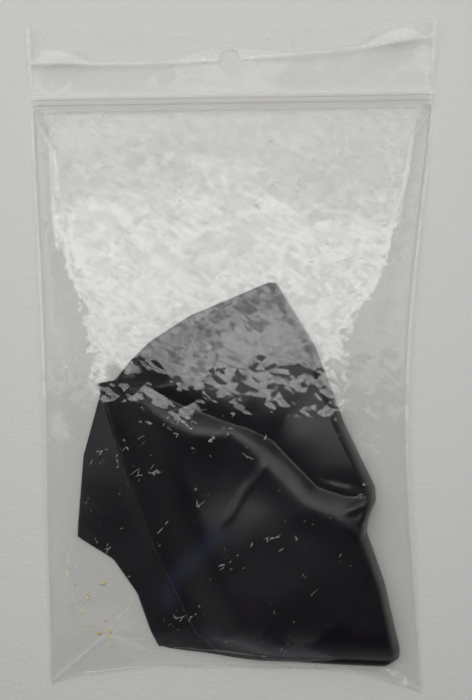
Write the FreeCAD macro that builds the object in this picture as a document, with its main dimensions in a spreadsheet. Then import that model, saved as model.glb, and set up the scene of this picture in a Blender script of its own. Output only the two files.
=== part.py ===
"""A rosin cake folded in thin black leather, inside a clear grip-seal bag.

The bag lies on its back wall: +Z up, +Y towards the closure, +X to the right,
origin at the middle of the footprint on the surface that the bag rests on.
"""
import FreeCAD, Part
import Sketcher
import math
import os
import random

doc = FreeCAD.newDocument("RosinCakeBag")
V = FreeCAD.Vector

# ------------------------------------------------------------------ driving dimensions, mm and degrees
SIZES = {
    # the bag, flat size and film
    "bag_width": 120.0,          # over the side welds, at the closure
    "body_length": 179.0,        # foot to closure
    "lip_length": 19.8,          # closure to the open end
    "film": 0.12,
    "weld_width": 1.6,
    "weld_thickness": 0.30,
    "fold_depth": 1.2,           # flat-pressed fold at the foot
    # how the filled bag draws in
    "foot_inset": 1.6,           # each side, at the foot
    "left_inset": 2.6,           # left side, at the waist
    "right_inset": 6.9,          # right side, at the waist
    "waist_from_foot": 90.0,
    "foot_sag": 6.0,             # the middle of the foot stands in from its corners
    # the pillow of the front film
    "crown_height": 15.7,
    "crown_from_foot": 105.5,
    "mouth_length": 39.5,        # the part of the front film that lifts when the bag opens
    "mouth_height": 11.6,        # height of the front film where that part begins
    "mouth_gap": 0.3,            # between moving film and fixed film or weld
    # the closure
    "zip_width": 4.2,
    "zip_base": 0.30,
    "zip_stack": 1.85,           # closed, outside to outside
    "stem_width": 0.40,
    "stem_height": 0.50,
    "head_width": 0.90,
    "head_height": 0.55,
    "jaw_wall": 0.26,
    "jaw_play": 0.14,            # head to jaw, each side
    "hook_reach": 0.30,          # how far each hook comes in from its jaw
    "hook_depth": 0.22,
    "hook_play": 0.07,           # hook to the underside of the head
    "guide_offset": 1.55,        # guide ribs either side of the stem
    "guide_width": 0.25,
    "guide_height": 0.35,
    # the crease and curl of the lips, measured along the film
    "crease_left": 9.7,          # closure to the crease, at the left side
    "crease_right": 15.3,
    "lip_curl": 6.5,             # the middle of the open end stands back from its corners
    # the hang hole through both lips
    "hole_radius": 3.0,
    "hole_inset": 10.0,          # from the open end
    "hole_land": 1.5,            # flat film round the hole
    "land_fade": 10.5,           # from the flat film to the curled film beside it
    # the leather wrap
    "leather": 1.0,
    "layer_gap": 0.30,           # between the folded layers
    "rest_gap": 0.05,            # between parts that lie on each other
    "wrap_from_foot": 11.5,      # fold of the wrap to the foot of the bag
    "wrap_centre": 12.5,         # middle of the fold, right of the bag's middle
    "wrap_fold": 73.0,           # length of the fold
    "wrap_height": 116.0,        # fold to the tip of the back layer
    "flap_height": 85.5,         # fold to the tip of the flap
    # the cake and its crumbs
    "cake_diameter": 34.0,
    "cake_thickness": 7.0,
    "cake_bevel": 1.0,
    "cake_from_fold": 30.0,
    "cake_offset": 12.0,         # right of the bag's middle
    "mound_rim": 3.0,            # leather over the cake's rim
    "mound_spread": 11.0,        # leather coming down round the cake
    "drape_slack": 0.9,          # the leather's net over the cake, which the sheet hangs a little below
    "roll_height": 1.5,          # the roll along the flap's free edge
    "crumb": 1.8,
}

sheet = doc.addObject("Spreadsheet::Sheet", "Dims")
for row, (alias, number) in enumerate(SIZES.items(), start=1):
    sheet.set(f"A{row}", alias)
    sheet.set(f"B{row}", str(number))
    sheet.setAlias(f"B{row}", alias)
doc.recompute()

# Lengths that several pieces share, written in the sheet's names.
TOTAL = "(Dims.body_length + Dims.zip_width + Dims.lip_length)"
FOOT = f"(-{TOTAL} / 2)"
CLOSURE = f"({FOOT} + Dims.body_length)"
LIP = f"({CLOSURE} + Dims.zip_width)"
TOP = f"({TOTAL} / 2)"
HINGE = f"({CLOSURE} - Dims.mouth_length)"
HALF = "(Dims.bag_width / 2)"
FOOT_HALF = f"({HALF} - Dims.foot_inset)"
WAIST = f"({FOOT} + Dims.waist_from_foot)"
MOUTH_HALF = f"({HALF} - Dims.weld_width - Dims.mouth_gap)"
ZIP_LINE = f"({CLOSURE} + Dims.zip_width / 2)"
WRAP_FOOT = f"({FOOT} + Dims.wrap_from_foot)"
WRAP_BASE = "(Dims.film + Dims.rest_gap)"
FLAP_BASE = f"({WRAP_BASE} + Dims.leather + Dims.layer_gap)"
CAKE_BASE = f"({WRAP_BASE} + Dims.leather + Dims.rest_gap)"
CAKE_Y = f"({WRAP_FOOT} + Dims.cake_from_fold)"


def value(expression):
    """The number that an expression in the sheet's names stands for."""
    return float(sheet.evalExpression(expression))


# ------------------------------------------------------------------ sketch and feature helpers
def new_body(label):
    body = doc.addObject("PartDesign::Body", label)
    body.Label = label
    return body


def origin_plane(body, role):
    return next(item for item in body.Origin.OriginFeatures if item.Role == role)


def closed_sketch(body, name, role, corners, shift=None):
    """A closed outline on one of the body's own planes.

    Each corner is (x, y), and the run that leaves it is straight, or (x, y, via_x, via_y),
    and the run is the arc through that third point. All are expressions in the sheet's names.
    """
    sketch = body.newObject("Sketcher::SketchObject", name)
    sketch.AttachmentSupport = [(origin_plane(body, role), "")]
    sketch.MapMode = "FlatFace"
    for axis, expression in (shift or {}).items():
        sketch.setExpression(f"AttachmentOffset.Base.{axis}", expression)
    spots = [V(value(c[0]), value(c[1]), 0) for c in corners]
    runs = []
    for index, corner in enumerate(corners):
        here, there = spots[index], spots[(index + 1) % len(spots)]
        if len(corner) == 2:
            run = sketch.addGeometry(Part.LineSegment(here, there))
            runs.append((run, 1, 2))
            continue
        middle = V(value(corner[2]), value(corner[3]), 0)
        run = sketch.addGeometry(Part.ArcOfCircle(here, middle, there))
        forward = sketch.getPoint(run, 1).distanceToPoint(here) < sketch.getPoint(run, 2).distanceToPoint(here)
        runs.append((run, 1, 2) if forward else (run, 2, 1))
        mark = sketch.addGeometry(Part.Point(middle), True)
        sketch.addConstraint(Sketcher.Constraint("PointOnObject", mark, 1, run))
        fix_point(sketch, mark, 1, corner[2], corner[3])
    for index, corner in enumerate(corners):
        run, start, _ = runs[index]
        before, _, end = runs[index - 1]
        sketch.addConstraint(Sketcher.Constraint("Coincident", before, end, run, start))
        fix_point(sketch, run, start, corner[0], corner[1])
    return sketch


def fix_point(sketch, geometry, position, x, y):
    """Bind a point's distances from the sketch origin to two expressions."""
    for kind, expression in (("DistanceX", x), ("DistanceY", y)):
        rule = Sketcher.Constraint(kind, -1, 1, geometry, position, value(expression))
        index = sketch.addConstraint(rule)
        sketch.setExpression(f"Constraints[{index}]", expression)


def circle_sketch(body, name, role, x, y, radius):
    sketch = body.newObject("Sketcher::SketchObject", name)
    sketch.AttachmentSupport = [(origin_plane(body, role), "")]
    sketch.MapMode = "FlatFace"
    ring = sketch.addGeometry(Part.Circle(V(value(x), value(y), 0), V(0, 0, 1), value(radius)))
    fix_point(sketch, ring, 3, x, y)
    index = sketch.addConstraint(Sketcher.Constraint("Radius", ring, value(radius)))
    sketch.setExpression(f"Constraints[{index}]", radius)
    return sketch


def pad(body, sketch, length, name):
    feature = body.newObject("PartDesign::Pad", name)
    feature.Profile = sketch
    feature.setExpression("Length", length)
    return feature


def cut_through(body, sketch, name):
    """A pocket through the whole body, both ways from its sketch."""
    feature = body.newObject("PartDesign::Pocket", name)
    feature.Profile = sketch
    feature.SideType = "Symmetric"
    feature.Type = "ThroughAll"
    return feature


def turned(body, sketch, kind, name, angle=None):
    """A revolution or a groove about the sketch's own vertical axis."""
    feature = body.newObject(f"PartDesign::{kind}", name)
    feature.Profile = sketch
    feature.ReferenceAxis = (sketch, ["V_Axis"])
    feature.Angle = 360
    if angle:
        feature.Midplane = True
        feature.setExpression("Angle", angle)
    return feature


def smooth_step(share):
    share = min(max(share, 0), 1)
    return share * share * (3 - 2 * share)


def spline_sheet(label, net, degree, thickness):
    """A smooth sheet that a net of points pulls into shape, drawn up by its thickness.

    It starts and ends on the net's borders and follows the net closely between them.
    """
    spans = [len(net) - degree, len(net[0]) - degree]
    mults = [[degree + 1] + [1] * (span - 1) + [degree + 1] for span in spans]
    knots = [list(range(span + 1)) for span in spans]
    surface = Part.BSplineSurface()
    surface.buildFromPolesMultsKnots(net, *mults, *knots, False, False, degree, degree)
    skin = doc.addObject("Part::Feature", f"{label}_surface")
    skin.Shape = surface.toShape()
    layer = doc.addObject("Part::Extrusion", label)
    layer.Base = skin
    layer.DirMode = "Custom"
    layer.Dir = V(0, 0, 1)
    layer.Solid = True
    layer.setExpression("LengthFwd", thickness)
    return layer


# ------------------------------------------------------------------ the plan of the filled bag
REACH = f"({FOOT_HALF} - Dims.weld_width)"
FOOT_RADIUS = f"(({FOOT_HALF} * {FOOT_HALF} + Dims.foot_sag * Dims.foot_sag) / (2 * Dims.foot_sag))"
FOOT_CENTRE = f"({FOOT} + Dims.foot_sag - {FOOT_RADIUS})"
FOLD_EDGE = f"({FOOT_RADIUS} + Dims.fold_depth)"
FOLD_CORNER = f"({FOOT_CENTRE} + sqrt({FOLD_EDGE} * {FOLD_EDGE} - {REACH} * {REACH}))"


def side_arc(side, shift="0", foot_y=FOOT):
    """Foot, waist and closure on a side edge, moved in towards the middle by shift."""
    inset = "Dims.left_inset" if side < 0 else "Dims.right_inset"
    foot = (f"{side} * ({FOOT_HALF} - {shift})", foot_y)
    waist = (f"{side} * ({HALF} - {inset} - {shift})", WAIST)
    top = (f"{side} * ({HALF} - {shift})", CLOSURE)
    return foot, waist, top


def inner_arc(side):
    """The inner side of a weld, which the films end at."""
    return side_arc(side, "Dims.weld_width", FOLD_CORNER)


def make_back_wall():
    body = new_body("back_wall")
    left_foot, left_waist, left_top = inner_arc(-1)
    right_foot, right_waist, right_top = inner_arc(1)
    corners = [
        (*left_foot, "0", f"{FOOT_CENTRE} + {FOLD_EDGE}"),
        (*right_foot, *right_waist),
        right_top,
        (*left_top, *left_waist),
    ]
    outline = closed_sketch(body, "back_outline", "XY_Plane", corners)
    pad(body, outline, "Dims.film", "back_film")
    return body


def make_side_weld(label, side):
    """Both films fused in a narrow strip from the foot to the open end."""
    body = new_body(label)
    foot, waist, top = side_arc(side)
    inner_foot, inner_waist, inner_top = inner_arc(side)
    corners = [
        (*foot, *waist),
        top,
        (top[0], TOP),
        (inner_top[0], TOP),
        (*inner_top, *inner_waist),
        inner_foot,
        (inner_foot[0], FOOT),
    ]
    outline = closed_sketch(body, f"{label}_outline", "XY_Plane", corners)
    pad(body, outline, "Dims.weld_thickness", f"{label}_strip")
    return body


def make_bottom_fold():
    """The foot: one film turned back on itself, swept along the drawn-in arc."""
    body = new_body("bottom_fold")
    near, far = FOOT_RADIUS, FOLD_EDGE
    inner_top = "(Dims.weld_thickness - Dims.film)"
    half = "(Dims.weld_thickness / 2)"
    slot = f"({near} + {half})"
    tip = f"({near} + Dims.film)"
    corners = [
        (far, "0"),
        (far, "Dims.film"),
        (slot, "Dims.film"),
        (tip, half),
        (slot, inner_top),
        (far, inner_top),
        (far, "Dims.weld_thickness"),
        (slot, "Dims.weld_thickness"),
        (near, half),
        (slot, "0"),
    ]
    profile = closed_sketch(body, "fold_profile", "YZ_Plane", corners, {"x": FOOT_CENTRE})
    turned(body, profile, "Revolution", "fold_sweep", f"2 * asin({REACH} / {FOLD_EDGE})")
    return body


# ------------------------------------------------------------------ the pillow of the front film
SHOULDER = (4.5, 12.0, 16.0)  # how square the pillow stands across, at the foot, the hinge and the closure
FOOT_POWERS = (12, 2)         # the rise from the foot: a steep part and a slow part
STEEP_SHARE = 0.72            # how much of the rise is the steep part
MOUTH_POWER = 1.4             # how late the mouth's film comes down to the closure
FOOT_CROWDING = 1.5           # rows of the net crowd towards the foot, where the film bends most
ACROSS = 25                   # columns of the net, welds included
BODY_ROWS = 21
MOUTH_ROWS = 9
CRUMPLE = 0.25                # how far a point of the net strays, as a share of its cell
DENT = 0.05                   # and how far it stands out or in, as a share of its height


def edge_x(side, y):
    """The inner side of a weld at y, on the circle through its three places."""
    foot, waist, top = [V(value(a), value(b), 0) for a, b in inner_arc(side)]
    circle = Part.ArcOfCircle(foot, waist, top).Circle
    reach = math.sqrt(circle.Radius ** 2 - (y - circle.Center.y) ** 2)
    bulges_out = waist.x * side > (foot.x + top.x) / 2 * side
    return circle.Center.x + side * (reach if bulges_out else -reach)


def across(u, y, gap=0.0):
    """x at a share u, -1 to 1, of the way between the welds."""
    left = edge_x(-1, y) + gap
    right = edge_x(1, y) - gap
    return left + (right - left) * (u + 1) / 2


def crown_rise(v):
    """Share of the crown's height at a share v of the way from the foot to the crown."""
    steep, slow = [1 - (1 - v) ** power for power in FOOT_POWERS]
    return STEEP_SHARE * steep + (1 - STEEP_SHARE) * slow


def body_point(u, v):
    """A point of the upper face of the fixed front film: u across, v from the foot to the hinge line."""
    v = v ** FOOT_CROWDING
    radius = value(FOLD_EDGE)
    gap = value("Dims.rest_gap")
    foot = value(FOOT_CENTRE) + gap + math.sqrt(radius ** 2 - (u * value(REACH)) ** 2)
    corner = value(FOLD_CORNER)
    y = foot + (value(HINGE) - foot) * v
    x = across(u, corner + (value(HINGE) - corner) * v, gap)
    crown_share = value("Dims.crown_from_foot") / (value("Dims.body_length") - value("Dims.mouth_length"))
    base = value("Dims.weld_thickness")
    crown = value("Dims.crown_height") - base
    if v < crown_share:
        rise = crown * crown_rise(v / crown_share)
    else:
        fall = crown - (value("Dims.mouth_height") - base)
        rise = crown - fall * ((v - crown_share) / (1 - crown_share)) ** 2
    power = SHOULDER[0] + (SHOULDER[1] - SHOULDER[0]) * v ** 3
    return V(x, y, base + rise * (1 - abs(u) ** power))


def mouth_point(u, v):
    """A point of the upper face of the lifting front film: u across, v from the hinge line to the closure."""
    gap = value("Dims.mouth_gap")
    start = value(HINGE) + gap
    y = start + (value(CLOSURE) - start) * v
    edge = value("Dims.weld_thickness") + gap
    edge += (value("Dims.zip_stack") - edge) * v
    rise = (value("Dims.mouth_height") - value("Dims.weld_thickness") - gap) * (1 - v ** MOUTH_POWER)
    power = SHOULDER[1] + (SHOULDER[2] - SHOULDER[1]) * v
    return V(across(u, y, gap), y, edge + rise * (1 - abs(u) ** power))


def crumple(net):
    """Stray each inner point of a net a little, in its own cell and in height."""
    stray = random.Random(len(net))
    points = [list(row) for row in net]
    for i in range(1, len(net) - 1):
        for j in range(1, len(net[0]) - 1):
            along = (net[i + 1][j] - net[i - 1][j]) * (stray.uniform(-0.5, 0.5) * CRUMPLE)
            across_cell = (net[i][j + 1] - net[i][j - 1]) * (stray.uniform(-0.5, 0.5) * CRUMPLE)
            dent = V(0, 0, net[i][j].z * stray.uniform(-DENT, DENT))
            points[i][j] = net[i][j] + along + across_cell + dent
    return points


def facet(corners):
    return Part.Face(Part.makePolygon([*corners, corners[0]]))


def creased_film(label, net, draw):
    """A film of flat facets that meet in creases, as film too stiff to stretch goes over a bulge.

    Each cell of the net is two triangles, whose diagonals alternate. The film lies between the net
    and a copy of it, moved by draw.
    """
    other = [[point + draw for point in row] for row in net]
    rows, columns = len(net), len(net[0])
    faces = []
    for i in range(rows - 1):
        for j in range(columns - 1):
            a, b, c, d = (i, j), (i, j + 1), (i + 1, j + 1), (i + 1, j)
            halves = ((a, b, c), (a, c, d)) if (i + j) % 2 else ((a, b, d), (b, c, d))
            for half in halves:
                faces += [facet([side[row][column] for row, column in half]) for side in (net, other)]
    rim = [(0, j) for j in range(columns - 1)] + [(i, columns - 1) for i in range(rows - 1)]
    rim += [(rows - 1, j) for j in range(columns - 1, 0, -1)] + [(i, 0) for i in range(rows - 1, 0, -1)]
    for here, there in zip(rim, rim[1:] + rim[:1]):
        near, far = [[side[row][column] for side in (net, other)] for row, column in (here, there)]
        faces.append(facet([*near, *reversed(far)]))
    shell = Part.Shell(faces)
    shell.sewShape()
    solid = Part.Solid(shell)
    if solid.Volume < 0:
        solid.reverse()
    film = doc.addObject("Part::Feature", label)
    film.Label = label
    film.Shape = solid
    return film


def make_pillow(label, point, rows):
    """A film over a net of the pillow's own points, whose columns crowd towards the welds."""
    shares = [math.sin(math.pi * (column / (ACROSS - 1) - 0.5)) for column in range(ACROSS)]
    net = [[point(u, row / (rows - 1)) for u in shares] for row in range(rows)]
    return creased_film(label, crumple(net), V(0, 0, -value("Dims.film")))


# ------------------------------------------------------------------ the closure and the lips
def make_zip_rib():
    """The arrow-headed rib on the back, between two low guides, all on one tape."""
    body = new_body("zip_rib")
    line, base = ZIP_LINE, "Dims.zip_base"
    stem = "Dims.stem_width / 2"
    head = "Dims.head_width / 2"
    neck = f"({base} + Dims.stem_height)"
    tip = f"({neck} + Dims.head_height)"
    low = f"({base} + Dims.guide_height)"
    near = "(Dims.guide_offset - Dims.guide_width / 2)"
    far = "(Dims.guide_offset + Dims.guide_width / 2)"
    corners = [(CLOSURE, "0"), (LIP, "0"), (LIP, base)]
    corners += [(f"{line} + {far}", base), (f"{line} + {far}", low)]
    corners += [(f"{line} + {near}", low), (f"{line} + {near}", base)]
    corners += [(f"{line} + {stem}", base), (f"{line} + {stem}", neck), (f"{line} + {head}", neck)]
    corners += [(f"{line} + {stem} / 2", tip), (f"{line} - {stem} / 2", tip)]
    corners += [(f"{line} - {head}", neck), (f"{line} - {stem}", neck), (f"{line} - {stem}", base)]
    corners += [(f"{line} - {near}", base), (f"{line} - {near}", low)]
    corners += [(f"{line} - {far}", low), (f"{line} - {far}", base), (CLOSURE, base)]
    profile = closed_sketch(body, "rib_profile", "YZ_Plane", corners, {"z": f"-{HALF} + Dims.weld_width"})
    pad(body, profile, f"2 * ({HALF} - Dims.weld_width)", "rib_extrusion")
    return body


def make_zip_channel():
    """The two hooked jaws on the front, which snap over the rib's head."""
    body = new_body("zip_channel")
    line = ZIP_LINE
    top = "Dims.zip_stack"
    ceiling = "(Dims.zip_stack - Dims.zip_base)"
    inner = "(Dims.head_width / 2 + Dims.jaw_play)"
    outer = f"({inner} + Dims.jaw_wall)"
    hook = f"({inner} - Dims.hook_reach)"
    shelf = "(Dims.zip_base + Dims.stem_height - Dims.hook_play)"
    foot = f"({shelf} - Dims.hook_depth)"
    corners = [(CLOSURE, ceiling), (CLOSURE, top), (LIP, top), (LIP, ceiling)]
    corners += [(f"{line} + {outer}", ceiling), (f"{line} + {outer}", foot), (f"{line} + {inner}", foot)]
    corners += [(f"{line} + {hook}", shelf), (f"{line} + {inner}", shelf), (f"{line} + {inner}", ceiling)]
    corners += [(f"{line} - {inner}", ceiling), (f"{line} - {inner}", shelf), (f"{line} - {hook}", shelf)]
    corners += [(f"{line} - {inner}", foot), (f"{line} - {outer}", foot), (f"{line} - {outer}", ceiling)]
    profile = closed_sketch(body, "channel_profile", "YZ_Plane", corners, {"z": f"-{MOUTH_HALF}"})
    pad(body, profile, f"2 * {MOUTH_HALF}", "channel_extrusion")
    return body


LIP_CLIMB = 17               # degrees, from the closure to the crease
STEEPEST = 72                # degrees, beyond the crease
LIP_LEAN = 35                # degrees back from upright, the way that the lips' thickness is drawn
LIP_ROWS = (0, 0.35, 0.7, 1, 1.2, 1.6, 2)  # 0 at the closure, 1 at the crease, 2 at the open end
CURL_COLUMNS = 6             # columns of the net from the flat film round the hole to each side
LEAN_SHIFT = f"(Dims.film * {math.sin(math.radians(LIP_LEAN)):.4f})"
LEAN_THICKNESS = f"(Dims.film * {math.cos(math.radians(LIP_LEAN)):.4f})"


def lip_columns(half):
    """Places across a lip: close together where the flat film round the hole turns into the curl."""
    land = value("Dims.hole_radius + Dims.hole_land")
    fade = value("Dims.land_fade")
    right = [0, land / 2, land, land + fade / 3, land + fade * 2 / 3]
    curl, run = land + fade, half - land - fade
    right += [curl + run * step / CURL_COLUMNS for step in range(CURL_COLUMNS + 1)]
    return [-x for x in reversed(right[1:])] + right


def lip_point(x, half, base, row):
    """A point of a lip's underside. The film climbs from the closure to the crease and turns up
    beyond it, so that the open end stands back, most in the middle. Round the hole it is flat."""
    u = x / half
    length = value(f"Dims.lip_length - {LEAN_SHIFT}")
    near = 1 - smooth_step((abs(x) - value("Dims.hole_radius + Dims.hole_land")) / value("Dims.land_fade"))
    left, right = value("Dims.crease_left"), value("Dims.crease_right")
    crease = left + (right - left) * ((u + 1) / 2) ** 3
    hole_end = length - value("Dims.hole_inset - Dims.hole_radius - Dims.hole_land / 3")
    crease += near * (hole_end - crease)
    climb = math.radians(LIP_CLIMB) * (1 - near) * (1 - u ** 8)
    reach = length - value("Dims.lip_curl") * (1 - u * u) - crease * math.cos(climb)
    steep = math.acos(min(max(reach / (length - crease), math.cos(math.radians(STEEPEST))), 1))
    before = crease * min(row, 1)
    after = (length - crease) * max(row - 1, 0)
    y = value(f"{LIP} + {LEAN_SHIFT}") + before * math.cos(climb) + after * math.cos(steep)
    return V(x, y, base + before * math.sin(climb) + after * math.sin(steep))


def make_lip(label, half, base, punch):
    """A creased and curled lip beyond the closure, with its half of the hang hole."""
    half, base = value(half), value(base)
    net = [[lip_point(x, half, base, row) for x in lip_columns(half)] for row in LIP_ROWS]
    draw = V(0, -value(LEAN_SHIFT), value(LEAN_THICKNESS))
    film = creased_film(f"{label}_film", net, draw)
    lip = doc.addObject("Part::Cut", label)
    lip.Label = label
    lip.Base = film
    lip.Tool = punch
    return lip


def make_punch():
    """The cylinder that both lips are punched with."""
    punch = doc.addObject("Part::Cylinder", "hole_punch")
    punch.setExpression("Radius", "Dims.hole_radius")
    punch.setExpression("Height", "3 * Dims.zip_stack")
    punch.setExpression("Placement.Base.y", f"{TOP} - Dims.hole_inset")
    punch.setExpression("Placement.Base.z", "-Dims.zip_stack")
    return punch


# ------------------------------------------------------------------ the folded leather, the cake and its crumbs
def wrap_x(share):
    """x at a share, -1 to 1, of the half fold, from the middle of the fold."""
    return f"(Dims.wrap_centre + {share} * Dims.wrap_fold / 2)"


def wrap_y(share):
    """y at a share of the wrap's full height above its fold."""
    return f"({WRAP_FOOT} + {share} * Dims.wrap_height)"


def flap_y(share):
    return f"({WRAP_FOOT} + {share} * Dims.flap_height)"


FOLD_R = "(Dims.leather + Dims.layer_gap / 2)"
FOLD_LINE = f"({WRAP_FOOT} + {FOLD_R})"
FLAP_COLUMNS = (0, 0.09, 0.2, 0.36, 0.56, 0.76, 0.91, 1)  # left side to right side
FLAP_ROWS = (0, 0.06, 0.16, 0.32, 0.5, 0.68, 0.8, 0.9, 1)  # fold to free edge
SIDE_FALL = (0.36, 0.26)     # share of the flap's width that comes down at its left and right side
END_FALL = (0.24, 0.18)      # share of its length that comes down at its fold and free edge
ROLL = 0.82                  # where along its length the free end has slumped into a roll
ROLL_WIDTH = 0.07


def parabola(start, via, end, share):
    """A place on the parabola through three places, which it passes at shares 0, 0.5 and 1."""
    weights = ((1 - share) * (1 - 2 * share), 4 * share * (1 - share), share * (2 * share - 1))
    return start * weights[0] + via * weights[1] + end * weights[2]


def flap_place(across_share, up_share):
    """x and y on the flap, blended between its four borders."""
    low_left, low_right = [V(value(wrap_x(share)), value(FOLD_LINE), 0) for share in (-0.6, 1)]
    high_right = V(value(wrap_x(0.78)), value(flap_y(0.485)), 0)
    tip = V(value(wrap_x(-1.46)), value(flap_y(1.0)), 0)
    left_via = V(value(wrap_x(-1.05)), value(flap_y(0.42)), 0)
    top_via = V(value(wrap_x(-0.15)), value(flap_y(0.78)), 0)
    left = parabola(low_left, left_via, tip, up_share)
    right = low_right + (high_right - low_right) * up_share
    low = low_left + (low_right - low_left) * across_share
    high = parabola(tip, top_via, high_right, across_share)
    flat_low = low_left * (1 - across_share) + low_right * across_share
    flat_high = tip * (1 - across_share) + high_right * across_share
    sides = left * (1 - across_share) + right * across_share
    ends = low * (1 - up_share) + high * up_share
    return sides + ends - flat_low * (1 - up_share) - flat_high * up_share


def flap_point(across_share, up_share):
    """A point of the flap's underside: down on its borders, over the cake in between, and a roll
    along the free edge."""
    place = flap_place(across_share, up_share)
    border = min(across_share / SIDE_FALL[0], (1 - across_share) / SIDE_FALL[1],
                 up_share / END_FALL[0], (1 - up_share) / END_FALL[1])
    cake = V(value("Dims.cake_offset"), value(CAKE_Y), 0)
    near = value("Dims.cake_diameter / 2 + Dims.mound_rim")
    mound = (near + value("Dims.mound_spread") - place.distanceToPoint(cake)) / value("Dims.mound_spread")
    over_cake = value(f"{CAKE_BASE} + Dims.cake_thickness + Dims.drape_slack - {FLAP_BASE}")
    rise = over_cake * max(smooth_step(border), smooth_step(mound) if 0 < up_share < 1 else 0)
    roll = value("Dims.roll_height") * math.exp(-((up_share - ROLL) / ROLL_WIDTH) ** 2)
    return place + V(0, 0, value(FLAP_BASE) + rise + roll * smooth_step(border))


def make_leather_wrap():
    """One sheet: a back layer, the fold at the foot, and a flap drawn down over the cake."""
    layers = new_body("wrap_layers")
    back = [
        (wrap_x(-1), FOLD_LINE),
        (wrap_x(1), FOLD_LINE),
        (wrap_x(0.78), wrap_y(0.36)),
        (wrap_x(0.86), wrap_y(0.46), wrap_x(0.5), wrap_y(0.74)),
        (wrap_x(0.01), wrap_y(1.0), wrap_x(-0.72), wrap_y(0.905)),
        (wrap_x(-1.32), wrap_y(0.735)),
        (wrap_x(-1.46), wrap_y(0.742), wrap_x(-1.64), wrap_y(0.54)),
        (wrap_x(-1.68), wrap_y(0.325), wrap_x(-1.2), wrap_y(0.19)),
    ]
    back_outline = closed_sketch(layers, "back_layer_outline", "XY_Plane", back, {"z": WRAP_BASE})
    pad(layers, back_outline, "Dims.leather", "back_layer")
    turn = [
        (FOLD_LINE, WRAP_BASE),
        (FOLD_LINE, f"{WRAP_BASE} + Dims.leather", f"{FOLD_LINE} - Dims.layer_gap / 2", f"{WRAP_BASE} + {FOLD_R}"),
        (FOLD_LINE, FLAP_BASE),
        (FOLD_LINE, f"{FLAP_BASE} + Dims.leather", WRAP_FOOT, f"{WRAP_BASE} + {FOLD_R}"),
    ]
    fold = closed_sketch(layers, "fold_profile_leather", "YZ_Plane", turn, {"z": wrap_x(-1)})
    pad(layers, fold, "Dims.wrap_fold", "fold")
    net = [[flap_point(column, row) for column in FLAP_COLUMNS] for row in FLAP_ROWS]
    flap = spline_sheet("flap", net, 3, "Dims.leather")
    wrap = doc.addObject("Part::Fuse", "leather_wrap")
    wrap.Label = "leather_wrap"
    wrap.Base = layers
    wrap.Tool = flap
    return wrap


def make_rosin_cake():
    """A round cast cake with bevelled rims."""
    body = new_body("rosin_cake")
    rim = "(Dims.cake_diameter / 2)"
    low = CAKE_BASE
    high = f"({low} + Dims.cake_thickness)"
    bevel = "Dims.cake_bevel"
    corners = [
        ("0", low),
        (f"{rim} - {bevel}", low),
        (rim, f"{low} + {bevel}"),
        (rim, f"{high} - {bevel}"),
        (f"{rim} - {bevel}", high),
        ("0", high),
    ]
    place = {"x": "Dims.cake_offset", "z": f"-{CAKE_Y}"}
    turned(body, closed_sketch(body, "cake_profile", "XZ_Plane", corners, place), "Revolution", "cake")
    return body


# Chips lie in the lower left corner of the bag: share of the half width, share of the body, turn, size.
CRUMBS = [
    (-0.83, 0.12, 20, 1.0),
    (-0.76, 0.17, 75, 0.7),
    (-0.70, 0.09, 130, 0.8),
    (-0.63, 0.06, 40, 0.6),
    (-0.86, 0.22, 100, 0.6),
]


def make_rosin_crumbs():
    """Small splinters that taper from one end to the other, separate solids in one node."""
    chips = []
    for index, (share_x, share_y, turn, size) in enumerate(CRUMBS, start=1):
        chip = doc.addObject("Part::Wedge", f"chip_{index}")
        lengths = {"Xmax": 0.6, "Ymax": 1.0, "Zmax": 0.5, "X2min": 0.2, "X2max": 0.5, "Z2max": 0.25}
        for corner in ("Xmin", "Ymin", "Zmin", "Z2min"):
            setattr(chip, corner, 0)
        for corner, share in lengths.items():
            chip.setExpression(corner, f"{size} * {share} * Dims.crumb")
        chip.Placement.Rotation = FreeCAD.Rotation(V(0, 0, 1), turn)
        chip.setExpression("Placement.Base.x", f"{share_x} * {HALF}")
        chip.setExpression("Placement.Base.y", f"{FOOT} + {share_y} * Dims.body_length")
        chip.setExpression("Placement.Base.z", WRAP_BASE)
        chips.append(chip)
    group = doc.addObject("Part::Compound", "rosin_crumbs")
    group.Label = "rosin_crumbs"
    group.Links = chips
    return group


# ------------------------------------------------------------------ build, check and write
hole_punch = make_punch()
nodes = [
    make_back_wall(),
    make_side_weld("left_side_weld", -1),
    make_side_weld("right_side_weld", 1),
    make_bottom_fold(),
    make_pillow("front_wall", body_point, BODY_ROWS),
    make_pillow("mouth_panel", mouth_point, MOUTH_ROWS),
    make_zip_rib(),
    make_zip_channel(),
    make_lip("back_lip", f"({HALF} - Dims.weld_width)", "0", hole_punch),
    make_lip("front_lip", MOUTH_HALF, f"Dims.zip_stack - {LEAN_THICKNESS}", hole_punch),
    make_leather_wrap(),
    make_rosin_cake(),
    make_rosin_crumbs(),
]
doc.recompute()

for thing in doc.Objects:
    if "Invalid" in thing.State or "Error" in thing.State:
        raise RuntimeError(f"{thing.Label} did not build: {thing.State}")

os.makedirs("parts", exist_ok=True)
for node in nodes:
    shape = node.Shape
    if shape.isNull() or not shape.isValid() or shape.Volume <= 0:
        raise RuntimeError(f"{node.Label} has no valid solid")
    shape.exportStep(f"parts/{node.Label}.step")
    box = shape.BoundBox
    print(f"{node.Label:16s} solids {len(shape.Solids)} volume {shape.Volume:9.2f} mm3  "
          f"x {box.XMin:7.2f} {box.XMax:7.2f}  y {box.YMin:8.2f} {box.YMax:8.2f}  z {box.ZMin:6.3f} {box.ZMax:6.3f}")
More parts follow.
